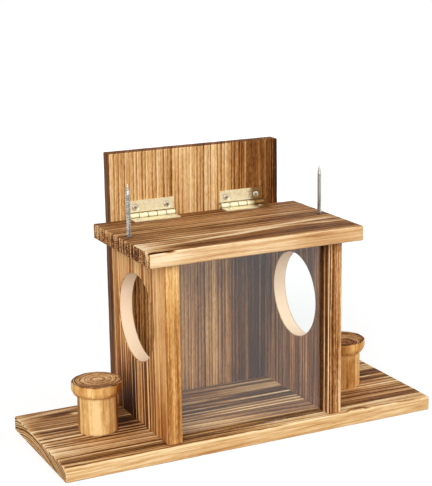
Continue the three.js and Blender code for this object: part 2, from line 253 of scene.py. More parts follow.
def log_place(n, whole, board):
    """A point's two distances from the pith across the log, and its place along the grain."""
    grain, crossing = board["grain"], (board["across"], board["out"])
    offsets = []
    for axis, tilt, pith in zip(crossing, board["tilt"], board["pith"]):
        place = n.vector("DOT_PRODUCT", whole, tuple(axis - grain * tilt))
        offsets.append(n.math("SUBTRACT", place, pith))
    return (*offsets, n.vector("DOT_PRODUCT", whole, tuple(grain)))


def grain_noise(n, place, seed, across, along, detail=2.0, roughness=0.5):
    """Noise with one size in millimetres across the grain and another along it."""
    scaled = [n.math("MULTIPLY_ADD", value, 1 / size, seed * step)
              for value, size, step in zip(place, (across, across, along), SEED_STEPS)]
    return n.noise(n.point(*scaled), detail, roughness)


def grain_noises(n, place, board, look):
    """All the noises of a piece of wood, by their names."""
    kinds = {**GRAIN_NOISES, "ripple": (RIPPLE_SEED, *board["ripple"][:2]),
             "striae": (STRIAE_SEED, *look["strand"], 2.0, 0.6)}
    return {kind: grain_noise(n, place, board["seed"] + seed, *sizes)
            for kind, (seed, *sizes) in kinds.items()}


def with_ovals(n, whole, plane, ovals, value):
    """Adds smooth ovals to a value: (place and place in the plane, half width, half length,
    amount, lean if any) each. In the ring distance they make arches of the grain, in the
    tone patches."""
    for first, second, wide, long, amount, *lean in ovals:
        slope = lean[0] if lean else 0.0
        side = n.vector("DOT_PRODUCT", whole, tuple((plane[0] - plane[1] * slope) / wide))
        length = n.vector("DOT_PRODUCT", whole, tuple(plane[1] / long))
        off = n.point(n.math("SUBTRACT", side, (first - second * slope) / wide),
                      n.math("SUBTRACT", length, second / long), 0.0)
        near = n.smooth(n.vector("LENGTH", off), 1.0, 0.0)
        value = n.math("MULTIPLY_ADD", near, amount, value)
    return value


def with_bands(n, place, bands, tone):
    """Adds bands, (place, change) each, to a tone."""
    low, high = bands[0][0], bands[-1][0]
    stops = [((at - low) / (high - low), (0.5 + change,) * 3 + (1.0,)) for at, change in bands]
    share = n.put("MapRange", {0: place, 1: low, 2: high}).outputs[0]
    return n.math("ADD", tone, n.total((n.ramp(share, stops), 1.0, 0.5)))


def banded(n, whole, along, plane, look, noises, tone):
    """A tone with the look's bands, which may differ at the two ends of the grain."""
    place = n.math("MULTIPLY_ADD", along, look["lean"],
                   n.vector("DOT_PRODUCT", whole, tuple(plane[0])))
    place = n.math("ADD", place, n.total((noises["drift"], look["waver"], 0.5),
                                         (noises["ripple"], RIPPLED_BANDS, 0.5)))
    near = with_bands(n, place, look["bands"], tone)
    if not look["far_bands"]:
        return near
    far = with_bands(n, place, look["far_bands"], tone)
    share = n.smooth(along, -FAR_BLEND, FAR_BLEND)
    return n.put("Mix", {0: share, 2: near, 3: far}).outputs[0]


def depth_in_box(n, whole, low, high):
    """How far a point lies inside a box on each axis."""
    off = n.vector("ABSOLUTE", n.vector("SUBTRACT", whole, tuple((low + high) / 2)))
    return n.vector("SUBTRACT", tuple((high - low) / 2), off)


def painted_shade_inside_box(n, whole):
    """Painted shade: 1 on the faces that look into the feed box, 0 on all others."""
    depth = n.parts(n.vector("DIVIDE", depth_in_box(n, whole, *FEED_BOX), FEED_BOX_BLEND))
    least = n.math("MINIMUM", depth[0], n.math("MINIMUM", depth[1], depth[2]))
    return n.smooth(least, 0.0, 1.0)


def arris_distance(n, whole, low, high):
    """How far a point of a board's surface is from the nearest arris, in millimetres."""
    depth = n.parts(depth_in_box(n, whole, low, high))
    lesser = n.math("MINIMUM", depth[0], depth[1])
    greater = n.math("MAXIMUM", depth[0], depth[1])
    return n.math("MAXIMUM", lesser, n.math("MINIMUM", greater, depth[2]))


def growth_rings(n, whole, place, board, look, noises):
    """The rings' dark lines, their pale starts, and a chance number for each ring."""
    radius = n.vector("LENGTH", n.point(*place[:2], 0.0))
    radius = n.math("ADD", radius, n.total((noises["drift"], board["wander"], 0.5),
                                           (noises["ripple"], board["ripple"][2], 0.5)))
    swells = board.get("swells", ())
    radius = with_ovals(n, whole, (board["across"], board["grain"]), swells, radius)
    rings = n.math("DIVIDE", radius, board["ring"])
    uneven = n.chance(n.math("MULTIPLY", rings, RING_CHANGES), "TexNoise", Scale=1.0, Detail=1.0)
    rings = n.math("ADD", rings, n.total((uneven, RING_UNEVENNESS, 0.5)))
    number, share, seed = n.math("FLOOR", rings), n.math("FRACT", rings), board["seed"]
    chance, other = (n.chance(n.math("ADD", number, shift))
                     for shift in (seed * 11.0, seed * 17.0 + 0.4))
    start = n.math("MULTIPLY_ADD", chance, -LINE_SPREAD, look["line_start"])
    line = n.math("MULTIPLY", n.smooth(share, start, LINE_FULL),
                  n.smooth(share, LINE_END, 1.0, 1.0, 0.0))
    line = n.math("MULTIPLY", line, n.math("MULTIPLY_ADD", other, 0.7, 0.5))
    glint = n.math("MULTIPLY", n.smooth(share, 0.0, GLINT_END, 1.0, 0.0), chance)
    return line, glint, other


def wood(name, board, look, box):
    """One kind of face of one board. All the kinds of a board share its log, so lines meet."""
    n = Nodes(name)
    board = {**board, **look["log"]}
    whole = n.place()
    place = log_place(n, whole, board)
    noises = grain_noises(n, place, board, look)
    line, glint, other = growth_rings(n, whole, place, board, look, noises)
    fibre, cloud, rub = noises["fibre"], noises["cloud"], noises["rub"]
    fleck = n.smooth(noises["fleck"], FLECK_FROM, FLECK_FULL)
    # Paler arrises: wear, and in part a painted highlight
    wear_and_highlight_reach = n.math("MULTIPLY_ADD", rub, WEAR_AND_HIGHLIGHT_RUB, arris_distance(n, whole, *box))
    wear = n.smooth(wear_and_highlight_reach, WEAR_AND_HIGHLIGHT_WIDTH, WEAR_AND_HIGHLIGHT_FULL)
    # The stools' char attribute also carries their flats' painted light and shade
    char_and_shading = n.put("Attribute", {}, attribute_name="char_and_shading").outputs["Fac"]

    plane = [board[axis] for axis in look["plane"]]
    loud = n.math("MAXIMUM", with_ovals(n, whole, plane, look["calm"], 1.0), QUIETEST)
    lines = n.total((line, look["line"], 0.2), (glint, look["glint"], 0.07),
                    (other, look["ring_change"], 0.5))
    # The inside term is painted shade on the faces that look into the feed box
    tone = n.math("ADD", look["tone"], n.total(
        (n.math("MULTIPLY", lines, loud), 1.0, 0.0), (fibre, look["fibre"], 0.5),
        (noises["striae"], look["striae"], 0.5), (noises["tick"], look["tick"], 0.5),
        (fleck, look["fleck"], 0.15), (noises["streak"], look["streak"], 0.5),
        (cloud, look["cloud"], 0.5), (wear, look["wear"], 0.0), (char_and_shading, CHAR_AND_SHADING_TONE, 0.0),
        (painted_shade_inside_box(n, whole), look["inside"], 0.0)))
    tone = with_ovals(n, whole, plane, look["patches"], tone)
    if look["bands"]:
        tone = banded(n, whole, place[2], plane, look, noises, tone)
    colour = n.blend(1.0, n.ramp(tone, WOOD_TONES), (*look["tint"], 1.0), blend_type="MULTIPLY")

    n.bump(n.total((line, look["relief"], 0.0), (fibre, 0.16, 0.0), (fleck, -0.1, 0.0),
                   (rub, 0.25, 0.0)), 0.8)
    rough = n.math("ADD", look["rough"], n.total((fibre, 0.25, 0.5), (cloud, 0.2, 0.5)))
    n.set(Base_Color=colour, Roughness=rough, Specular_IOR_Level=0.08)
    return n.owner


FACE = dict(  # burned and brushed
    tone=0.5, line=0.55, line_start=0.76, glint=-0.3, ring_change=0.25, fibre=0.5, striae=0.8,
    strand=(1.5, 120), tick=0.3, fleck=0.18, streak=0.7, cloud=0.4, wear=-0.25, inside=0.1,
    relief=0.22, rough=0.62, plane=("across", "grain"), lean=0, waver=7, bands=(),
    far_bands=(), patches=(), calm=(), log={}, tint=(1, 1, 1))
EDGE = dict(  # a board's long narrow side is paler and has straight lines
    tone=0.19, line=0.08, glint=-0.03, ring_change=0.05, fibre=0.25, striae=0.7,
    strand=(1.3, 260), tick=0.12, fleck=0.04, streak=0.35, cloud=0.3, wear=-0.12, relief=0.08,
    rough=0.55, plane=("out", "grain"), waver=1.2)
END = dict(  # a sawn end shows rings and open pores
    line=0.45, ring_change=0.2, fibre=0.6, striae=0.3, fleck=0.4, streak=0.3, cloud=0.5,
    wear=-0.15, relief=0.15, rough=0.7, plane=("across", "out"), inside=0)


def look(kind=FACE, **changes):
    """The settings of a kind of face, with some of them changed."""
    return {**FACE, **kind, **changes}


# Bands are (place, change of tone) across a face's grain, and far_bands take over where the
# grain's place is positive. Patches, calm and swells are ovals, and log is what a kind of face
# has of its own in place of the board's log.
# Inside is painted shade on the faces that look into the feed box.
BORE = look(
    tone=-0.04, line=0.04, glint=-0.02, ring_change=0.03, fibre=0.3, striae=0.15, tick=0.16,
    fleck=0.1, streak=0.15, cloud=0.2, wear=-0.1, relief=0.08, inside=0, tint=(0.99, 1, 1.26))
# Painted shade in the lid's split and in its countersinks
PAINTED_SHADE_IN_CUTS = look(tone=0.95, wear=0)

BASE_BOARD = dict(
    grain=X, across=Y, out=Z, pith=(230, -250), tilt=(-0.03, 0.01), ring=3.4, wander=2.4,
    ripple=(7, 26, 0.7), seed=1, swells=((57, -166, 12, 50, 3), (-68, 116, 9, 34, 5)),
    face=look(
        tone=0.47, line=0.42, line_start=0.68, waver=1.4, tint=(1, 1.04, 1.12),
        bands=(
            (-75, 0.1), (-72.5, 0.4), (-70.5, -0.04), (-66, 0.04), (-64, 0.44), (-61, 0.28),
            (-57, 0.24), (-55, -0.26), (-53.2, -0.1), (-51.4, 0.66), (-49.4, -0.02), (-38, -0.2),
            (-23, -0.12), (-20.4, 0.66), (-17.7, -0.44), (-14.5, 0.3), (-11.5, -0.36), (-7.5, 0.52),
            (-4, -0.44), (0.5, 0.56), (5.4, -0.44), (10, 0.52), (13, 0.04), (17, 0.56), (20.5, 0.3),
            (24, -0.62), (27.5, 0.1), (46, 0.14), (75, 0)),
        far_bands=(
            (-75, -0.24), (-68, -0.3), (-66, 0), (-63, -0.42), (-60.5, -0.3), (-58.5, 0.34),
            (-51, 0.36), (-48, 0.04), (-46, -0.26), (-43, 0.1), (-20.5, 0.14), (-18, -0.5),
            (-15.5, 0.16), (-13, 0.16), (-11, -0.54), (-8.5, 0.2), (-6.5, 0.1), (-4.5, -0.48),
            (-2, 0.34), (8, 0.34), (11, -0.7), (14, 0.34), (26, 0.36), (30, -0.3), (44, -0.14),
            (48, 0.36), (53, -0.4), (58, 0.3), (63, -0.3), (75, 0)),
        # The oval at (4, -107) is painted shade on the base between the left stool's post and the
        # left wall
        patches=(
            (57, -160, 9, 30, 0.5, 0.1), (66, -165, 4, 60, -0.4, 0.1), (54, -142, 5, 9, -0.6),
            (4, -107, 32, 28, 0.55), (60, -200, 30, 16, -0.24), (-69, 116, 4, 18, 0.5),
            (0, -200, 80, 10, -0.25)),
        calm=((10, -206, 110, 28, -0.9), (-66, 150, 14, 90, -0.8))),
    edge=look(
        EDGE,
        bands=(
            (0, 0.02), (3.4, 0.08), (4.4, -0.03), (7.5, 0), (8.4, 0.1), (9.4, -0.04), (12, 0.07),
            (13, -0.06), (15, -0.1)),
        patches=((5, 188, 4, 16, 0.16),)),
    end=look(
        END, tone=0.37, line=1.35, line_start=0.55, glint=-0.7, ring_change=0.5, wear=-0.3,
        tint=(1, 0.9, 0.8), patches=((12, 2, 44, 6, 0.25),),
        log=dict(pith=(8, -170), ring=2.5, wander=1.2)))

LEFT_WALL = dict(
    grain=Z, across=Y, out=X, pith=(-190, -92), tilt=(0.012, 0), ring=7.6, wander=2,
    ripple=(4, 16, 0.9), seed=2, grooved=True,
    face=look(
        tone=0.35, line=-1.15, line_start=0.78, glint=0.24, ring_change=0.4, streak=0.8, waver=1.6,
        tint=(1, 0.84, 0.68),
        bands=(
            (-72, 0.3), (-71, 0.34), (-69.8, -0.08), (-55, -0.1), (-53, -0.28), (-51, -0.06),
            (-45.5, -0.08), (-43.5, -0.46), (-41.5, 0.16), (-28.3, 0.2), (-26.3, -0.4), (-24.3, 0.2),
            (-13.5, 0.2), (-11.5, -0.2), (-3, -0.24), (-1, -0.5), (1, 0.08), (10, 0.04),
            (60, -0.04)),
        # The oval at (27, 14) is painted shade on the wall behind the left stool; the one at (0,
        # 200) lightens the top, partly painted light against the lid's shade, partly paler burn
        patches=(
            (27, 14, 37, 84, 0.85), (20, 60, 60, 60, 0.12), (0, 200, 110, 90, -0.36),
            (-58, 10, 18, 110, 0.2)),
        calm=((-60, 100, 26, 400, -1.5), (26, 10, 34, 70, -0.6))),
    edge=look(
        EDGE, tone=0.38, fibre=0.5, tick=0.4, fleck=0.16, streak=0.6, tint=(1, 0.89, 0.69),
        bands=(
            (-95, 0.36), (-94.4, 0.3), (-93.8, 0.02), (-91, 0.05), (-88, -0.05), (-86, -0.03),
            (-84.5, 0.08), (-83.5, -0.05), (-80, 0.03)),
        patches=(
            (-93, 175, 10, 50, -0.16), (-92, 70, 6, 70, 0.07), (-86, 95, 5, 30, 0.08),
            (-84, 45, 7, 60, 0.16), (-84, 182, 7, 50, -0.12))))

RIGHT_WALL = dict(
    grain=Z, across=Y, out=X, pith=(-160, 60), tilt=(-0.01, 0), ring=5.6, wander=3,
    ripple=(5, 20, 0.9), seed=3, grooved=True,
    face=look(
        tone=0.55, inside=0.26, tint=(1, 1, 1.1),
        # The pale oval at y -71.4 is a painted highlight along the inner face's front arris
        patches=(
            (-56.5, 100, 5, 900, 0.85), (-63, 100, 1.8, 900, -0.8), (-67, 100, 4, 900, 0.4),
            (-71.4, 100, 1.8, 900, -0.5))),
    edge=look(
        EDGE, tone=0.5, fibre=0.4, striae=1.2, strand=(1.1, 160), tick=0.6, waver=0.8,
        tint=(1, 0.96, 1.02),
        bands=(
            (80, 0.26), (81.4, 0.3), (82.2, -0.08), (83, 0), (83.8, 0.34), (85.2, 0.3), (86.4, 0.06),
            (88, 0.12), (89.6, 0), (91, 0.12), (92.4, -0.12), (93.8, -0.32), (95, -0.14)),
        patches=((93, 30, 5, 60, -0.2), (87, 170, 9, 40, -0.12))))

BACK_BOARD = dict(
    grain=Z, across=X, out=Y, pith=(-420, 300), tilt=(0.01, 0), ring=3.5, wander=1.6,
    ripple=(3.2, 9, 0.9), seed=4, swells=((57, 250, 5, 9, 3),),
    face=look(
        tone=0.37, line=0.34, line_start=0.55, glint=-0.24, striae=0.9, strand=(1.1, 200),
        streak=0.45, fleck=0.2, tick=0.35, wear=-0.06, waver=3, inside=0.28, tint=(0.97, 0.98, 0.97),
        bands=(
            (-95, 0), (-30, -0.03), (0, -0.12), (22, -0.12), (36, 0.06), (45, 0.3), (55.5, 0.36),
            (57, 0.08), (58.5, 0.38), (71, 0.4), (73, 0.12), (75, 0.42), (79, 0.42), (80.5, 0.2),
            (82, 0.46), (90, 0.48), (92, 0.62), (95, 0.7)),
        calm=((70, 240, 32, 300, -1.1),)),
    edge=look(EDGE, tone=0.88, striae=0.8, streak=0.6, wear=0, tint=(1, 0.95, 0.9)),
    end=look(END, tone=0.86, wear=0, tint=(0.97, 0.97, 1)))

LID = dict(
    grain=X, across=Y, out=Z, pith=(120, 196), tilt=(0.02, 0.01), ring=7, wander=3,
    ripple=(6, 30, 0.8), seed=5, raw_from=-1,
    face=look(
        tone=0.62, line=0.45, glint=-0.25, lean=-0.03, streak=1, inside=0, tint=(0.92, 0.93, 1.01),
        bands=(
            (-80, -0.06), (-76, 0.08), (-72, 0.14), (-60, 0.16), (-54, 0.08), (-44, 0), (-30, 0.02),
            (-20, 0.08), (-13, 0.18), (-8, 0), (10, -0.02), (26, 0.12), (36, 0.02), (59, 0.1)),
        patches=(
            (-62, -108, 34, 46, -0.5), (-57, -114, 22, 14, -0.5), (-63, 50, 18, 110, 0.16),
            (-51, -20, 5, 96, -0.95, 0.12), (-37.5, -34, 3.6, 90, -0.7, 0.02),
            (-39.5, 24, 8.5, 66, -0.6), (-32, 78, 6, 56, -0.75, 0.08),
            (-46.5, 92, 4.5, 50, -0.6, -0.06)),
        calm=((-46, 20, 20, 120, -1),)),
    edge=look(
        EDGE, tone=0.21, tint=(1, 1.02, 1.13),
        bands=(
            (192.6, 0.04), (196, 0), (197.5, 0.07), (199, -0.04), (203, 0), (204.4, 0.06),
            (205.4, -0.06), (207.6, -0.1)),
        patches=(
            (202, 62, 8, 52, 0.22), (200, -113.8, 30, 1.5, 0.8), (206.6, -93, 2.2, 9, 0.8),
            (202, -98, 13, 34, -0.24))),
    end=look(
        END, tone=0.66, line=0.6, glint=-0.9, fleck=-0.6, tick=2.3, cloud=0.9, tint=(1, 0.9, 0.82),
        patches=(
            (-75.6, 206, 8.5, 17, -0.7, 0.2), (-30, 199, 30, 7, 0.14), (10, 206, 60, 5, -0.24),
            (46, 201, 22, 12, -0.24))),
    bore=PAINTED_SHADE_IN_CUTS)

BOARDS = {"base_board": BASE_BOARD, "left_wall": LEFT_WALL, "right_wall": RIGHT_WALL,
          "back_board": BACK_BOARD, "lid": LID}


# Metals and clear sheet

# Painted reflection of dark wood on the right hinge's +X end, and painted shade in the hinges'
# creases and knuckle joints
PAINTED_REFLECTION_START, PAINTED_REFLECTION_FULL, PAINTED_REFLECTION_SPREAD = 57, 66, 8.0  # millimetres towards +X
CREASE_START, CREASE_FADE, CREASE_END = 0.2, 0.7, 1.5  # millimetres round the barrel
JOINT_FULL, JOINT_END = 0.03, 0.09  # shares of a knuckle's length
JOINT_FADE = (3.2, 3.0)  # millimetres from the pin's axis
CREASE_SHADE, JOINT_SHADE = 0.9, 0.55


def metal(name, light, dark, rough, fineness, mirror=1.0, painted_shading=None):
    """Plated metal with faint spots and uneven gloss, brushed along its least fine axis."""
    n = Nodes(name)
    place = n.place()
    brushed = n.noise(n.vector("MULTIPLY", place, fineness), 3.0, 0.6)
    spots = n.noise(n.vector("SCALE", place, scale=0.35), 4.0, 0.6)
    colour = n.blend(n.smooth(spots, 0.4, 0.66), light, dark)
    # Painted reflection and painted shade, where the metal is given them
    for share, painted_colour in painted_shading(n, place, spots) if painted_shading else ():
        colour = n.blend(share, colour, painted_colour)
    n.bump(n.total((brushed, 0.004, 0.0), (spots, 0.025, 0.0)), 1.0)
    gloss = n.math("ADD", rough, n.total((spots, 0.22, 0.5), (brushed, 0.12, 0.5)))
    n.set(Base_Color=colour, Metallic=mirror, Roughness=gloss)
    return n.owner


def hinge_painted_shading(n, place, spots):
    """A hinge's painted reflection towards +X and painted shade in its creases and joints, as
    (share, colour) pairs.
    """
    middle = middle_of("right_hinge_pin")
    along = n.parts(place)[0]
    spread = n.math("ADD", along, n.total((spots, PAINTED_REFLECTION_SPREAD, 0.5)))
    painted_reflection = n.smooth(spread, PAINTED_REFLECTION_START, PAINTED_REFLECTION_FULL)
    off = n.vector("SUBTRACT", n.vector("MULTIPLY", place, (0, 1, 1)), (0, middle.y, middle.z))
    radius = n.vector("LENGTH", off)
    crease_shade = n.math("MULTIPLY", n.smooth(radius, BARREL, BARREL + CREASE_START),
                    n.smooth(radius, BARREL + CREASE_END, BARREL + CREASE_FADE))
    knuckles = n.math("SUBTRACT", n.math("ABSOLUTE", along), middle.x)
    knuckles = n.math("DIVIDE", knuckles, KNUCKLE_PITCH)
    beside = n.math("ABSOLUTE", n.math("SUBTRACT", n.math("FRACT", knuckles), 0.5))
    joint_shade = n.math("MULTIPLY", n.smooth(beside, JOINT_END, JOINT_FULL),
                   n.smooth(radius, *JOINT_FADE))
    painted_shading = n.math("MAXIMUM", n.math("MULTIPLY", crease_shade, CREASE_SHADE),
                  n.math("MULTIPLY", joint_shade, JOINT_SHADE))
    # The painted reflection's colour, then the painted shade's colour
    return (painted_reflection, srgb(136, 98, 42)), (painted_shading, srgb(92, 72, 34))


def clear_sheet(name):
    """Clear acrylic with faint dust and a very slight waviness. Lamps shine through it."""
    n = Nodes(name)
    place = n.place()
    dust = n.noise(n.vector("SCALE", place, scale=0.05), 5.0, 0.7)
    n.bump(n.noise(n.vector("SCALE", place, scale=0.012), 1.0), 0.3)
    n.set(Base_Color=srgb(250, 253, 252), Roughness=n.smooth(dust, 0.45, 0.8, 0.015, 0.07),
          IOR=1.49, Transmission_Weight=1.0)
    clear = n.put("BsdfTransparent", {0: srgb(244, 248, 247)}).outputs[0]
    ray = n.put("LightPath", {}).outputs["Is Shadow Ray"]
    sheet = n.tree.nodes["Principled BSDF"].outputs[0]
    mix = n.put("MixShader", {0: ray, 1: sheet, 2: clear}).outputs[0]
    n.join(mix, n.tree.nodes["Material Output"].inputs["Surface"])
    return n.owner


BRASS = metal("pale_brass", srgb(255, 249, 218), srgb(246, 228, 176), 0.34, (0.3, 6.0, 6.0),
              0.52, hinge_painted_shading)
ZINC = metal("zinc_steel", srgb(240, 236, 224), srgb(204, 198, 184), 0.34, (2.0, 2.0, 2.0))
STEEL = metal("bright_steel", srgb(196, 194, 188), srgb(150, 147, 140), 0.3, (2.0, 2.0, 2.0))
ACRYLIC = clear_sheet("clear_acrylic")


# Meshes

def new_object(name, data):
    piece = bpy.data.objects.new(name, data)
    bpy.context.scene.collection.objects.link(piece)
    return piece


def piece_of(name, points, faces, materials=()):
    """An object from points in millimetres."""
    mesh = bpy.data.meshes.new(name)
    mesh.from_pydata([Vector(p) * MM for p in points], [], faces)
    for material in materials:
        mesh.materials.append(material)
    mesh.update()
    return new_object(name, mesh)


def smooth_faces(piece, angle=35):
    """Shades a mesh smooth, but for the edges where it turns by more than an angle."""
    piece.data.shade_smooth()
    piece.data.set_sharp_from_angle(angle=math.radians(angle))


def turn_to(out):
    """The rotation that takes +Z to a direction."""
    if out == -Z:
        return Matrix.Rotation(math.pi, 3, "X")
    return Z.rotation_difference(out).to_matrix()


ARRIS_LINES = (0.0, 0.586, 1.0, 1.8)  # grid lines from a box's end, in arris radii


def axis_lines(low, high, radius, cell):
    """Places of a rounded box's grid lines on one axis, closer together at its ends."""
    ends = [radius * share for share in ARRIS_LINES]
    count = max(1, round((high - low - 2 * ends[-1]) / cell))
    step = (high - low - 2 * ends[-1]) / count
    inner = [low + ends[-1] + step * i for i in range(1, count)]
    return [low + e for e in ends] + inner + [high - e for e in reversed(ends)]


def rounded_box(low, high, radius, cell):
    """Points and faces of a box with rounded arrises, on a grid, shared at its corners, and
    the axis that each face lies across."""
    lines = [axis_lines(low[a], high[a], radius, cell) for a in range(3)]
    points, faces, axes, known = [], [], [], {}

    def corner(key):
        if key not in known:
            place = Vector([lines[a][key[a]] for a in range(3)])
            core = Vector([min(max(place[a], low[a] + radius), high[a] - radius)
                           for a in range(3)])
            known[key] = len(points)
            points.append(core + (place - core).normalized() * radius)
        return known[key]

    for a in range(3):
        b, c = (a + 1) % 3, (a + 2) % 3
        sides = (0, len(lines[a]) - 1)
        for side, i, j in product(sides, range(len(lines[b]) - 1), range(len(lines[c]) - 1)):
            face = []
            for u, v in ((i, j), (i + 1, j), (i + 1, j + 1), (i, j + 1)):
                key = [0, 0, 0]
                key[a], key[b], key[c] = side, u, v
                face.append(corner(tuple(key)))
            faces.append(face if side else face[::-1])
            axes.append(a)
    return points, faces, axes


SKIN, ARRIS_REACH = 1.3, 2.5  # how near to a face or an arris the handwork takes hold
RUB_SIZE, NICK_SIZE = 11, 4
ARRIS_RUB, ARRIS_NICK, FACE_RUB = 0.35, 0.9, 0.08  # millimetres
NICK_FROM = 0.25  # the noise that a nick starts at


def handworked(points, low, high, seed):
    """Moves a board's points inwards a little: uneven sanding, most of it on the arrises."""
    middle, half = (low + high) / 2, (high - low) / 2
    moved = []
    for point in points:
        inside = [half[a] - abs(point[a] - middle[a]) for a in range(3)]
        arris = max(0.0, 1.0 - sorted(inside)[1] / ARRIS_REACH)
        rub = 0.5 + 0.5 * noise.noise(point / RUB_SIZE + X * seed)
        nick = max(0.0, noise.noise(point / NICK_SIZE + Y * seed) - NICK_FROM)
        depth = arris * (ARRIS_RUB * rub + ARRIS_NICK * nick) + FACE_RUB * rub
        inwards = Vector([-math.copysign(1, point[a] - middle[a]) if inside[a] < SKIN else 0.0
                          for a in range(3)])
        moved.append(point + inwards.normalized() * depth if inwards.length else point)
    return moved


def arc(centre, radius, start, finish, steps):
    angles = [math.radians(start + (finish - start) * k / steps) for k in range(steps + 1)]
    return [(centre[0] + radius * math.cos(a), centre[1] + radius * math.sin(a))
            for a in angles]


def stacked(count, outlines=2):
    """Faces of a closed solid between outlines that have so many points each."""
    faces = []
    for low in range(0, count * (outlines - 1), count):
        for k in range(count):
            after = (k + 1) % count
            faces.append((low + k, low + after, low + count + after, low + count + k))
    last = count * (outlines - 1)
    return faces + [tuple(reversed(range(count))), tuple(range(last, last + count))]


def lathe(profile, sides, place=(0, 0, 0), out=Z):
    """Points and faces of a turned solid. The profile, (radius, height) pairs, starts and
    ends on the axis, which points out from place."""
    turn, rings = turn_to(out), profile[1:-1]
    points = [Vector((*at, height)) for radius, height in rings
              for at in arc((0, 0), radius, 0, 360, sides)[:-1]]
    points += [Vector((0, 0, height)) for _, height in (profile[0], profile[-1])]
    bottom, top = len(points) - 2, len(points) - 1
    faces, last = stacked(sides, len(rings))[:-2], bottom - sides
    for k in range(sides):
        after = (k + 1) % sides
        faces += [(bottom, after, k), (last + k, last + after, top)]
    return [turn @ p + Vector(place) for p in points], faces


def extruded(outline, low, high, axis=Z):
    """Points and faces of a flat outline, (a, b) pairs in the plane across an axis."""
    points = [Vector((height, *at)) if axis == X else Vector((*at, height))
              for height in (low, high) for at in outline]
    return points, stacked(len(outline))


def mirrored(profile):
    """A turned solid's profile from the upper half of it."""
    return [(radius, -height) for radius, height in reversed(profile)] + profile


def joined(parts):
    points, faces = [], []
    for some_points, some_faces in parts:
        faces += [[i + len(points) for i in face] for face in some_faces]
        points += list(some_points)
    return points, faces


def cut(piece, parts, operation="DIFFERENCE"):
    """Takes closed solids out of a piece, or adds them with UNION. The new faces get the
    piece's second material."""
    cutter = piece_of("cutter", *joined(parts), piece.data.materials[:])
    for polygon in cutter.data.polygons:
        polygon.material_index = min(1, len(piece.data.materials) - 1)
    modifier = piece.modifiers.new("cut", "BOOLEAN")
    modifier.object, modifier.solver, modifier.operation = cutter, "EXACT", operation
    graph = bpy.context.evaluated_depsgraph_get()
    mesh = bpy.data.meshes.new_from_object(piece.evaluated_get(graph))
    piece.modifiers.clear()
    piece.data = mesh
    bpy.data.objects.remove(cutter)


def dress(piece, node):
    """Lets a piece stand for a CAD node and move with the node's body."""
    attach(piece, frame["nodes"][node]["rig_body"])
    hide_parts(node)


# Boards

PAST = 3  # how far a cutter reaches past a face, in millimetres
CLEARANCE = 0.25  # round a screw
HELD = {  # the screws whose holes a board has, and how deep these go on below the head
    "base_board": (("wall_foot", "back_foot", "stool_screw"), 4.0),
    "back_board": (("back_screw",), 4.0),
    "lid": (("spike",), 16.0),
}
SPLIT_LENGTH, SPLIT_WIDTH, SPLIT_DEPTH = 32.0, 3.4, 3.0
SPLIT_SECTIONS = ((0.0, 1.0, 0.0), (0.6, 0.75, 0.5), (1.0, 0.06, 1.3))  # place, size, drift to +Y
CELL = 6.0  # of a board's grid


def countersink(place, out, screw, through=0.0, wide=0.0):
    """The hole that a screw's head sinks into, open outwards, and a shank hole if asked."""
    shank, mouth = screw["shank"] + CLEARANCE, screw["head"] + CLEARANCE + wide
    neck = -screw["rim"] - (screw["head"] - screw["shank"])
    bottom = neck - CLEARANCE - through
    profile = [(0, bottom), (shank, bottom)] if through else [(0, bottom)]
    profile += [(shank, neck), (mouth, 0.0), (mouth + 0.2, SINK + 1.0), (0, SINK + 1.0)]
    return lathe(profile, 32, place, out)


def round_hole(low, high):
    """The cutter for a wall's round hole, with both rims rounded over."""
    face, widest = (high[0] - low[0]) / 2, HOLE_RADIUS + RIM_EASE
    rim = arc((widest, face - RIM_EASE), RIM_EASE, 180, 90, 4)
    profile = mirrored([*rim, (widest, face + PAST), (0, face + PAST)])
    return lathe(profile, 160, ((low[0] + high[0]) / 2, HOLE_Y, HOLE_Z), X)


def groove(node, low, high):
    """The cutter for the window's groove in a wall's inner face."""
    sign, inner = (1, low[0]) if node == "right_wall" else (-1, high[0])
    near, far = sorted((inner - sign * PAST, inner + sign * GROOVE_DEPTH))
    front, back = GROOVE_Y
    outline = [(near, front), (far, front), (far, back), (near, back)]
    return extruded(outline, low[2] - PAST, high[2] + PAST)


def split(start):
    """A thin wedge along +X into a board's upper front arris, which closes at its far end."""
    outwards, beside = Vector((0, -1, 1)).normalized(), Vector((0, 1, 1)).normalized()
    points = []
    for share, size, drift in SPLIT_SECTIONS:
        middle = start + Vector((SPLIT_LENGTH * share, drift, 0))
        points += [middle + outwards + beside * SPLIT_WIDTH * size / 2,
                   middle + outwards - beside * SPLIT_WIDTH * size / 2,
                   middle - outwards * SPLIT_DEPTH * size]
    return points, stacked(3, len(SPLIT_SECTIONS))


SCREW_KINDS = {  # by a part of the CAD node's name: the kind, and where the head's face looks
    "hinge_lid_leaf_screw": ("hinge", Z),
    "hinge_back_leaf_screw": ("hinge", -Y),
    "back_screw": ("board", Y),
    "wall_foot_screw": ("board", -Z),
    "back_foot_screw": ("board", -Z),
    "stool_screw": ("stool", -Z),
    "spike_screw": ("spike", -Z),
}


def screw_kinds():
    """Every screw of the CAD model with its kind and the direction that its head faces."""
    return {node: kind for node in frame["nodes"]
            for part, kind in SCREW_KINDS.items() if part in node}


def head_place(node, out):
    """The middle of a CAD screw's face, in millimetres."""
    low, high = box_of(node)
    reach = (high - low).dot(Vector([abs(v) for v in out])) / 2
    return (low + high) / 2 + out * reach


def board_cuts(node, low, high):
    cuts = []
    if node.endswith("_wall"):
        cuts += [round_hole(low, high), groove(node, low, high)]
    if node == "lid":
        cuts.append(split(Vector((low[0] - 1, low[1] + 0.6, high[2] - 0.6))))
    held, through = HELD.get(node, ((), 0.0))
    for screw, (kind, out) in screw_kinds().items():
        if screw.startswith(held):
            cuts.append(countersink(head_place(screw, out), out, SCREWS[kind], through))
    return cuts


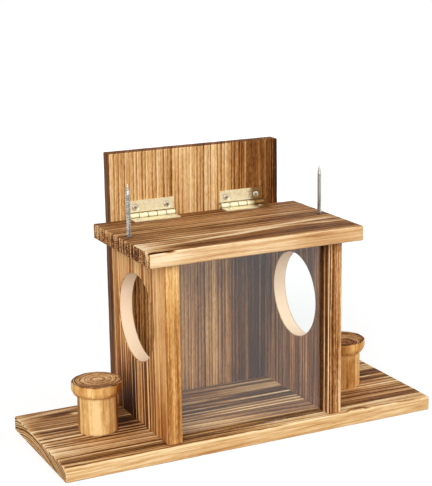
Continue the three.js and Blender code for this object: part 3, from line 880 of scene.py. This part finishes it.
KINDS = ("face", "bore", "edge", "end")  # a board's material slots
KIND_AXES = {"face": "out", "edge": "across", "end": "grain"}
RAW_FROM = 0.9  # how deep a cut goes until it shows raw wood, unless a board says otherwise
GROOVE_REACH = 2.5  # from the groove's middle, whose faces keep the board's own looks


def cut_kind(polygon, board, low, high):
    """Which of a board's looks a polygon gets that a cutter has left."""
    place = polygon.center / MM
    inside = min(min(place[a] - low[a], high[a] - place[a]) for a in range(3))
    in_groove = "grooved" in board and abs(place.y - sum(GROOVE_Y) / 2) < GROOVE_REACH
    if inside > board.get("raw_from", RAW_FROM) and not in_groove:
        return "bore"
    return max(KIND_AXES, key=lambda kind: abs(polygon.normal.dot(board[KIND_AXES[kind]])))


def board_piece(node, board):
    low, high = box_of(node)
    looks = {"bore": BORE, "end": look(END), **board}
    materials = [wood(f"{node}_{kind}", board, looks[kind], (low, high)) for kind in KINDS]
    points, faces, axes = rounded_box(low, high, ARRIS, CELL)
    points = handworked(points, low, high, board["seed"] * 9.0)
    piece = piece_of(f"{node}_wood", points, faces, materials)
    slots = {(X, Y, Z).index(board[axis]): KINDS.index(kind) for kind, axis in KIND_AXES.items()}
    for polygon, axis in zip(piece.data.polygons, axes):
        polygon.material_index = slots[axis]
    cuts = board_cuts(node, low, high)
    if cuts:
        cut(piece, cuts)
    for polygon in piece.data.polygons:
        if polygon.material_index == KINDS.index("bore"):
            polygon.material_index = KINDS.index(cut_kind(polygon, board, low, high))
    smooth_faces(piece, 40)
    dress(piece, node)


# Screws

FIRST_SPIN, SPIN_STEP = 0.35, 2.4  # radians, so that the crosses stand at all angles
THREAD_ROOT, THREAD_PITCH = 0.68, 0.95  # shares of the shank's radius
THREAD_STEPS = 20  # to a turn


def thread(screw):
    """A shank with a helical thread that runs out into the point."""
    crest = screw["shank"]
    root, pitch = crest * THREAD_ROOT, crest * THREAD_PITCH
    start, end = -screw["length"], -screw["rim"] - (screw["head"] - crest) * 0.6
    profile = ((0.0, root), (0.38, root), (0.62, crest), (0.74, crest), (1.0, root))
    turns = math.ceil((end - start) / pitch) + 1
    points, faces = [], []
    for i in range(turns * THREAD_STEPS + 1):
        angle = TURN * i / THREAD_STEPS
        for share, radius in profile:
            height = start + pitch * (i / THREAD_STEPS - 1 + share)
            fade = min(1.0, max(0.0, (height - start) / screw["point"])) ** 0.8
            height = min(max(height, start), end)
            points.append((radius * fade * math.cos(angle), radius * fade * math.sin(angle),
                           height))
    width = len(profile)
    for i in range(turns * THREAD_STEPS):
        for j in range(width - 1):
            a = i * width + j
            faces.append((a, a + width, a + width + 1, a + 1))
    return points, faces


def cross_recess(radius):
    """The tapered cross that a screwdriver fits into."""
    arm, half, depth = radius * 0.58, radius * 0.15, radius * 0.6
    outline, quarter = [], [(half, half), (half, arm), (-half, arm)]
    for _ in range(4):
        outline += quarter
        quarter = [(-y, x) for x, y in quarter]
    bottom = [(x * 0.5, y * 0.5, -depth) for x, y in outline]
    top = [(x * 1.04, y * 1.04, radius * 0.4) for x, y in outline]
    return bottom + top, stacked(len(outline))


def screw_mesh(kind):
    """One screw, its face at the origin and its point along -Z."""
    screw = SCREWS[kind]
    head, shank, rim = screw["head"], screw["shank"], screw["rim"]
    neck, dome = -rim - (head - shank), 0.05 * head
    profile = [(0, neck - 0.4), (shank * 0.9, neck), (head - 0.12, -rim), (head, -rim + 0.1),
               (head, -0.12), (head - 0.12, -0.02), (head * 0.7, dome * 0.55),
               (head * 0.35, dome * 0.9), (0, dome)]
    materials = [STEEL if kind == "spike" else ZINC]
    piece = piece_of(f"{kind}_screw_head", *lathe(profile, 40), materials)
    cut(piece, [cross_recess(head)])
    smooth_faces(piece, 30)
    shaft = piece_of(f"{kind}_screw_shaft", *thread(screw), materials)
    smooth_faces(shaft, 50)
    with bpy.context.temp_override(active_object=piece, selected_editable_objects=[piece, shaft]):
        bpy.ops.object.join()
    mesh = piece.data
    bpy.data.objects.remove(piece)
    return mesh


def place_screws():
    meshes = {kind: screw_mesh(kind) for kind in SCREWS}
    for number, (node, (kind, out)) in enumerate(sorted(screw_kinds().items())):
        piece = new_object(f"{node}_metal", meshes[kind])
        turn = turn_to(out) @ Matrix.Rotation(FIRST_SPIN + SPIN_STEP * number, 3, "Z")
        piece.matrix_world = Matrix.Translation(head_place(node, out) * MM) @ turn.to_4x4()
        dress(piece, node)


# Stools

# The stains of the post's and the seat's flats are partly their own colour and partly painted light
# and shade
POST_FLATS = (  # where each flat begins, in degrees around the post, and its stain
    (10, 0.1), (45, 0.2), (80, 0), (120, 0.3), (150, 0.95), (188, -0.35), (200, 0.3),
    (214, 0), (234, -0.35), (258, -0.05), (284, -0.1), (314, 0.95), (338, 0.4))
SEAT_FLATS = ((5, 0.1), (34, 0), (66, 0.3), (95, 0.05), (128, 0.5), (158, 0.1), (182, 0.5),
              (192, -0.1), (238, -0.3), (241, 0.12), (275, 0.2), (297, 0.9), (330, 0.5))
FLAT_SHARES = (0, 0.07, 0.17, 0.3, 0.5, 0.7, 0.83, 0.93)  # a flat's points
POST_BOW, SEAT_BOW = 0.45, 0.5  # how round the flats are, from 0 to 1
STAIN_AND_SHADING_BLUR = 0.4  # of a flat's width
UNEVENNESS = 0.006  # of the radius
POST_PITH = (2, 1.5)

STOOL_LOOKS = {
    "post_wood": look(
        tone=0.19, line=0.1, glint=0, ring_change=0.05, fibre=0.35, fleck=0.12, striae=0.5,
        strand=(2.2, 60), streak=0.6, cloud=0.7, relief=0.05, wear=0, rough=0.5,
        tint=(1, 0.95, 0.78)),
    "seat_side": look(
        tone=0.2, line=0.1, glint=0, fibre=0.4, striae=0.4, strand=(2.6, 60), streak=0.5,
        cloud=1.1, wear=0, rough=0.5, tint=(1, 0.89, 0.66)),
    "seat_top": look(
        tone=0.54, line=0.5, line_start=0.5, glint=-1, ring_change=0.6, fibre=0.5, tick=0.6,
        streak=0.9, cloud=1, wear=0, rough=0.7, tint=(1, 0.93, 0.9)),
}
# The post's stains carry painted light and shade as well
STOOLS = {  # strength of the post's stains, change of the peeled sides' tone, char at the foot
    "left": dict(seed=6, turned=0, stain_and_shading=0.9, darker=0, foot=0, pith=(2, 1.5),
                 tint=(1, 1, 1)),
    "right": dict(seed=8, turned=98, stain_and_shading=0.5, darker=-0.13, foot=0.3, pith=(-4, -13),
                  tint=(1, 0.92, 0.82)),
}


def flat_outline(flats, radius, turned, bow):
    """An outline of flats cut with a knife. Each point comes with its flat's stain, which is partly
    painted light and shade.
    """
    outline = []
    for k, (begin, stain_and_shading) in enumerate(flats):
        finish, next_stain_and_shading = flats[(k + 1) % len(flats)]
        if finish < begin:
            finish += 360
        angles = [math.radians(a + turned) for a in (begin, finish)]
        first, last = (Vector((math.cos(a), math.sin(a), 0)) for a in angles)
        room = 1 - math.cos(math.radians((finish - begin) / 2))
        for share in FLAT_SHARES:
            point = first.lerp(last, share)
            point += point.normalized() * room * bow * math.sin(math.pi * share)
            beside = flats[k - 1][1] if share < 0.5 else next_stain_and_shading
            near = max(0.0, 1 - min(share, 1 - share) / STAIN_AND_SHADING_BLUR) / 2
            outline.append((point * radius, stain_and_shading + (beside - stain_and_shading) * near))
    return outline


def lofted(middle, outline, levels):
    """Points, faces and char, with the flats' painted light and shade, of a closed solid: the
    outline scaled at each level, which is (height, scale, char, how much of its flats' stain and
    painted shading shows)."""
    points, char_and_shading = [], []
    for height, scale, burned, shown_stain_and_shading in levels:
        for point, stain_and_shading in outline:
            uneven = 1 + UNEVENNESS * noise.noise(Vector((point.x / 9, point.y / 9, height / 12)))
            scaled = point * scale * min(uneven, 1.0 / max(scale, 0.99))
            points.append(middle + scaled + Z * height)
            blotch = 0.5 + noise.noise(Vector((point.x / 5, point.y / 5, height / 9)))
            char_and_shading.append(burned * blotch + shown_stain_and_shading * stain_and_shading)
    return points, stacked(len(outline), len(levels)), char_and_shading


def stool_wood(side, kind, seed, pith, box):
    """A stool's wood in its own tone and tint, the pith so far from the part's middle."""
    settings, own, middle = STOOL_LOOKS[kind], STOOLS[side], (box[0] + box[1]) / 2
    tone = settings["tone"] + (0.0 if kind == "seat_top" else own["darker"])
    tint = [a * b for a, b in zip(settings["tint"], own["tint"])]
    board = dict(grain=Z, across=X, out=Y, pith=(middle.x + pith[0], middle.y + pith[1]),
                 tilt=(0, 0), ring=2.6, wander=5.0, ripple=(7, 30, 1.2), seed=seed)
    return wood(f"{side}_{kind}", board, dict(settings, tone=tone, tint=tint), box)


def stool_piece(node, outline, levels, materials):
    middle = middle_of(node)
    middle.z = 0
    points, faces, char_and_shading = lofted(middle, outline, levels)
    piece = piece_of(f"{node}_wood", points, faces, materials)
    attribute = piece.data.attributes.new("char_and_shading", "FLOAT", "POINT")
    attribute.data.foreach_set("value", char_and_shading)
    if len(materials) > 1:
        top = levels[-1][0]
        for polygon in piece.data.polygons:
            polygon.material_index = 1 if polygon.center.z / MM > top - 0.3 else 0
    smooth_faces(piece, 22)
    dress(piece, node)


def stool(side):
    """A peeled post with a thicker slice of the same wood on it as its seat."""
    post, seat = (box_of(f"{side}_stool_{part}") for part in ("post", "seat"))
    own = STOOLS[side]
    seed, turned, foot = own["seed"], own["turned"], own["foot"]
    bottom, top = post[0].z, seat[0].z - 0.1
    levels = ((bottom, 0.93, -0.3, 0.2), (bottom + 0.9, 0.965, -0.3, 0.4),
              (bottom + 1.6, 0.985, foot, 0.8), (bottom + 9, 0.99, foot, 1.0),
              (bottom + 20, 0.98, 0.4 * foot, 1.0), (top - 7, 0.985, 0.0, 0.9),
              (top - 2.5, 0.985, -0.15, 0.7), (top, 0.985, 0.1, 0.9))
    woods = [stool_wood(side, "post_wood", seed, POST_PITH, post)]
    flats = [(angle, stain_and_shading * own["stain_and_shading"]) for angle, stain_and_shading in POST_FLATS]
    stool_piece(f"{side}_stool_post", flat_outline(flats, POST_RADIUS, turned, POST_BOW),
                levels, woods)

    bottom, top = seat[0].z, seat[1].z
    levels = ((bottom, 0.84, 0.3, 0.3), (bottom + 0.8, 0.905, 0.1, 0.5),
              (bottom + 2.4, 0.955, 0.0, 0.8), (bottom + 4.4, 0.99, 0.0, 1.0),
              (bottom + 6.5, 1.0, 0.0, 1.0), (top - 1.4, 0.995, 0.1, 0.8),
              (top - 0.6, 0.99, 0.7, 0.3), (top, 0.965, 0.8, 0.0), (top, 0.91, 0.5, 0.0),
              (top - 0.03, 0.86, 0.0, 0.0), (top - 0.05, 0.3, 0.0, 0.0))
    woods = [stool_wood(side, kind, seed + 3, own["pith"], seat)
             for kind in ("seat_side", "seat_top")]
    stool_piece(f"{side}_stool_seat", flat_outline(SEAT_FLATS, SEAT_RADIUS, turned, SEAT_BOW),
                levels, woods)


# Hinges and window

def soft_edges(obj, material, width):
    """Gives an object its material and a fine bevel."""
    obj.data.materials.clear()
    obj.data.materials.append(material)
    modifier = obj.modifiers.new("soft_edges", "BEVEL")
    modifier.width, modifier.segments, modifier.limit_method = width * MM, 2, "ANGLE"
    modifier.angle_limit = math.radians(40)
    modifier.harden_normals = True


def knuckle(index):
    """The leaf's sheet, rolled up round the pin's bore."""
    flat, foot = BARREL - LEAF_THICK, -BARREL - HINGE_GAP - LEAF_THICK
    meeting = math.degrees(math.asin(flat / BARREL))
    roll = arc((0, 0), BARREL, -90, 180 + meeting, 44)
    start = index * KNUCKLE_PITCH - (LEAF_LENGTH - HINGE_GAP) / 2
    outline = [(foot, -BARREL), *roll, (foot, -flat)]
    return extruded(outline, start, start + KNUCKLE_PITCH - HINGE_GAP, X)


def leaf(node, first, turn, place):
    """A leaf drawn round the pin's axis, lying down towards -Y, and then turned to its place."""
    half, top, inner = LEAF_LENGTH / 2, LEAF_THICK - BARREL, -BARREL - HINGE_GAP
    corner_x, corner_y = half - LEAF_CORNER, LEAF_CORNER - LEAF_REACH
    outline = [(half, inner), (-half, inner),
               *arc((-corner_x, corner_y), LEAF_CORNER, 180, 270, 6),
               *arc((corner_x, corner_y), LEAF_CORNER, 270, 360, 6)]
    piece = piece_of(f"{node}_brass", *extruded(outline, -BARREL, top), [BRASS])
    cut(piece, [knuckle(index) for index in range(first, KNUCKLES, 2)], "UNION")
    cuts = [lathe(mirrored([(PIN + HINGE_GAP, half + 1), (0, half + 1)]), 40, out=X)]
    for x in (LEAF_SCREW_END - half, half - LEAF_SCREW_END):
        place_of_screw = (x, LEAF_SCREW_EDGE - LEAF_REACH, top)
        cuts.append(countersink(place_of_screw, Z, SCREWS["hinge"], 2.0, 0.55))
    cut(piece, cuts)
    piece.data.transform(Matrix.Translation(place * MM) @ turn)
    smooth_faces(piece)
    soft_edges(piece, BRASS, 0.12)
    dress(piece, node)


def hinge(side):
    """Two leaves that take turns along the barrel, and a pin riveted over at both ends."""
    place = middle_of(f"{side}_hinge_pin")
    upright = Matrix.Rotation(math.pi, 4, Vector((0, -1, 1)))
    leaf(f"{side}_hinge_lid_leaf", 1, Matrix(), place)
    leaf(f"{side}_hinge_back_leaf", 0, upright, place)
    seat = (LEAF_LENGTH + HINGE_GAP) / 2
    dome = [(RIVET * wide, seat + RIVET_HEIGHT * high)
            for wide, high in arc((0, 0), 1, 0, 90, 6)[1:-1]]
    profile = mirrored([(PIN, seat), (RIVET - 0.1, seat), *dome, (0, seat + RIVET_HEIGHT)])
    pin = piece_of(f"{side}_hinge_pin_brass", *lathe(profile, 32, place, X), [BRASS])
    smooth_faces(pin, 40)
    dress(pin, f"{side}_hinge_pin")


# Stage

LAMPS = {"key": ((-1.6, -2.0, 1.5), 54), "fill": ((1.8, -1.2, 1.2), 16)}  # metres and watts
LAMP_SIZE, LAMP_TARGET = 1.6, Vector((0, 0, 0.1))
FLOOR_REACH = 6.0  # metres from the object's middle, as are the next two
FLOOR_NEAR, FLOOR_FAR = 0.35, 1.4
FLOOR_GLOW, FLOOR_FAR_GLOW = 0.62, 0.85
WORLD_LIGHT = 0.5
WHITE = (1.0, 1.0, 1.0, 1.0)


def area_light(name, place, power):
    data = bpy.data.lights.new(name, "AREA")
    data.shape, data.size, data.energy = "SQUARE", LAMP_SIZE, power
    lamp = new_object(name, data)
    lamp.location = place
    lamp.rotation_mode = "QUATERNION"
    lamp.rotation_quaternion = (LAMP_TARGET - Vector(place)).to_track_quat("-Z", "Y")


def floor():
    """A pale floor that glows a little more the further off it is, and keeps shadows."""
    n = Nodes("pale_floor")
    far = n.vector("LENGTH", n.put("TexCoord", {}).outputs["Object"])
    glow = n.smooth(far, FLOOR_NEAR, FLOOR_FAR, FLOOR_GLOW, FLOOR_FAR_GLOW)
    n.set(Base_Color=(0.5, 0.5, 0.5, 1.0), Roughness=0.9, Specular_IOR_Level=0.1,
          Emission_Color=WHITE, Emission_Strength=n.math("MULTIPLY", n.backdrop_ray(), glow))
    reach = FLOOR_REACH / MM
    corners = [(x * reach, y * reach, 0) for x, y in ((-1, -1), (1, -1), (1, 1), (-1, 1))]
    piece_of("floor", corners, [(0, 1, 2, 3)], [n.owner])


def studio():
    """A world that looks white and lights the object less than that."""
    n = Nodes("studio", bpy.data.worlds)
    bpy.context.scene.world = n.owner
    strength = n.put("MapRange", {0: n.backdrop_ray(), 3: WORLD_LIGHT, 4: 1.0}).outputs[0]
    background = n.tree.nodes["Background"].inputs
    n.join(WHITE, background["Color"])
    n.join(strength, background["Strength"])


def camera():
    data = bpy.data.cameras.new("camera")
    data.sensor_width, data.lens = 36.0, CAMERA_LENS
    data.clip_start, data.clip_end = 0.05, 30.0
    view = new_object("camera", data)
    yaw, pitch, roll = (math.radians(a) for a in (CAMERA_YAW, CAMERA_PITCH, CAMERA_ROLL))
    turn = (Matrix.Rotation(yaw, 4, "Z") @ Matrix.Rotation(pitch, 4, "X")
            @ Matrix.Rotation(roll, 4, "Y") @ Matrix.Rotation(math.pi / 2, 4, "X"))
    view.matrix_world = Matrix.Translation(Vector(CAMERA_PLACE) * MM) @ turn
    bpy.context.scene.camera = view


def build():
    for node, board in BOARDS.items():
        board_piece(node, board)
    place_screws()
    for side in ("left", "right"):
        stool(side)
        hinge(side)
    soft_edges(frame["nodes"]["front_window"], ACRYLIC, 0.3)
    camera()
    floor()
    studio()
    for name, (place, power) in LAMPS.items():
        area_light(name, place, power)
    bpy.context.scene.view_settings.view_transform = "Standard"


build()
